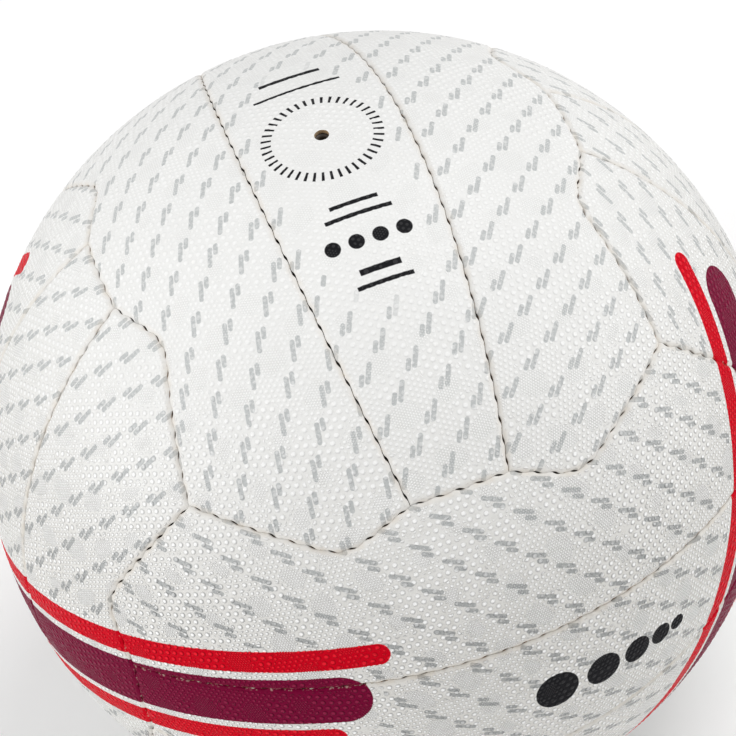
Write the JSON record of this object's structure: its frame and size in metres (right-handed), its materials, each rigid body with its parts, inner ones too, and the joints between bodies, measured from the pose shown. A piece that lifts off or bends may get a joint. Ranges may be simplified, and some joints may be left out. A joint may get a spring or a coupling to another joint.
{
  "type": "netball",
  "caption": "Round inflated netball: hand-stitched grip-textured strip panels in groups of three over a cloth lining and a bladder with a needle valve.",
  "frame": {"origin": "centre of the ball", "axes": "+Z out through the valve, +Y along the strips of the group that holds the valve, +X across them"},
  "size_m": [0.2228, 0.2228, 0.2228],
  "materials": {
    "cover": "satin white grip rubber with raised pimples and printed bands",
    "lining": "laminated cream cloth",
    "thread": "waxed grey thread",
    "bladder": "matt black rubber",
    "patch": "tan rubbered cloth",
    "valve_body": "brown moulded rubber",
    "valve_core": "soft black rubber"
  },
  "bodies": {
    "root": {"cover_top_centre": "cover", "cover_top_side_a": "cover", "cover_top_side_b": "cover", "cover_right_centre": "cover", "cover_right_side_a": "cover", "cover_right_side_b": "cover", "cover_rear_centre": "cover", "cover_rear_side_a": "cover", "cover_rear_side_b": "cover", "cover_base_centre": "cover", "cover_base_side_a": "cover", "cover_base_side_b": "cover", "cover_left_centre": "cover", "cover_left_side_a": "cover", "cover_left_side_b": "cover", "cover_front_centre": "cover", "cover_front_side_a": "cover", "cover_front_side_b": "cover", "lining_top_centre": "lining", "lining_top_side_a": "lining", "lining_top_side_b": "lining", "lining_right_centre": "lining", "lining_right_side_a": "lining", "lining_right_side_b": "lining", "lining_rear_centre": "lining", "lining_rear_side_a": "lining", "lining_rear_side_b": "lining", "lining_base_centre": "lining", "lining_base_side_a": "lining", "lining_base_side_b": "lining", "lining_left_centre": "lining", "lining_left_side_a": "lining", "lining_left_side_b": "lining", "lining_front_centre": "lining", "lining_front_side_a": "lining", "lining_front_side_b": "lining", "thread_top_strips": "thread", "thread_right_strips": "thread", "thread_rear_strips": "thread", "thread_base_strips": "thread", "thread_left_strips": "thread", "thread_front_strips": "thread", "thread_top_rear": "thread", "thread_right_top": "thread", "thread_rear_right": "thread", "thread_base_rear": "thread", "thread_left_top": "thread", "thread_front_right": "thread", "thread_top_front": "thread", "thread_right_base": "thread", "thread_rear_left": "thread", "thread_base_front": "thread", "thread_left_base": "thread", "thread_front_left": "thread", "bladder": "bladder", "valve_patch": "patch", "valve_body": "valve_body", "valve_core": "valve_core"}
  },
  "joints": []
}
